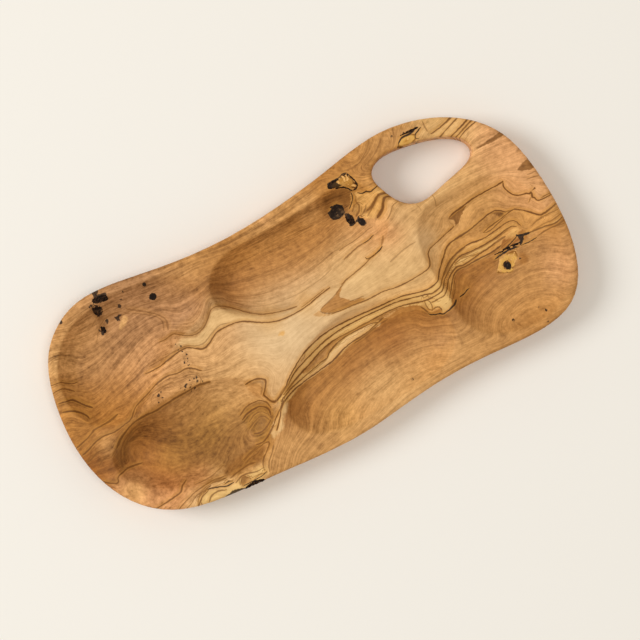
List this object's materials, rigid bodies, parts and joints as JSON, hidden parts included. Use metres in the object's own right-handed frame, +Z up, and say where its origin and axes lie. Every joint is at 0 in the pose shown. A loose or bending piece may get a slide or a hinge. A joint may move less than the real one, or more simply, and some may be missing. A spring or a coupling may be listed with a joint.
{
  "type": "olive wood serving dish",
  "caption": "Free-form olive wood serving board with carved wells for olives and nuts, a rounded rim and a hand hole at one end.",
  "frame": {"origin": "middle of the outline on the flat base", "axes": "+X along the board towards the hand hole end, +Y across the board towards the hand hole side, +Z up"},
  "size_m": [0.4, 0.196, 0.026],
  "materials": {
    "olive_wood": "oiled satin",
    "bark": "matt",
    "dark_knot": "satin",
    "golden_knot": "oiled satin"
  },
  "bodies": {
    "root": {"board": "olive_wood", "left_rim_bark": "bark", "left_well_bark": "bark", "left_well_low_bark": "bark", "top_rim_bark": "bark", "top_well_bark": "bark", "right_well_bark": "bark", "front_rim_bark": "bark", "handle_bark": "bark", "left_well_knot": "dark_knot", "left_well_pin_knot": "dark_knot", "top_well_knot": "dark_knot", "top_well_small_knot": "dark_knot", "right_well_knot_heart": "dark_knot", "top_rim_knot": "golden_knot", "right_well_knot": "golden_knot", "handle_knot": "golden_knot"}
  },
  "joints": []
}
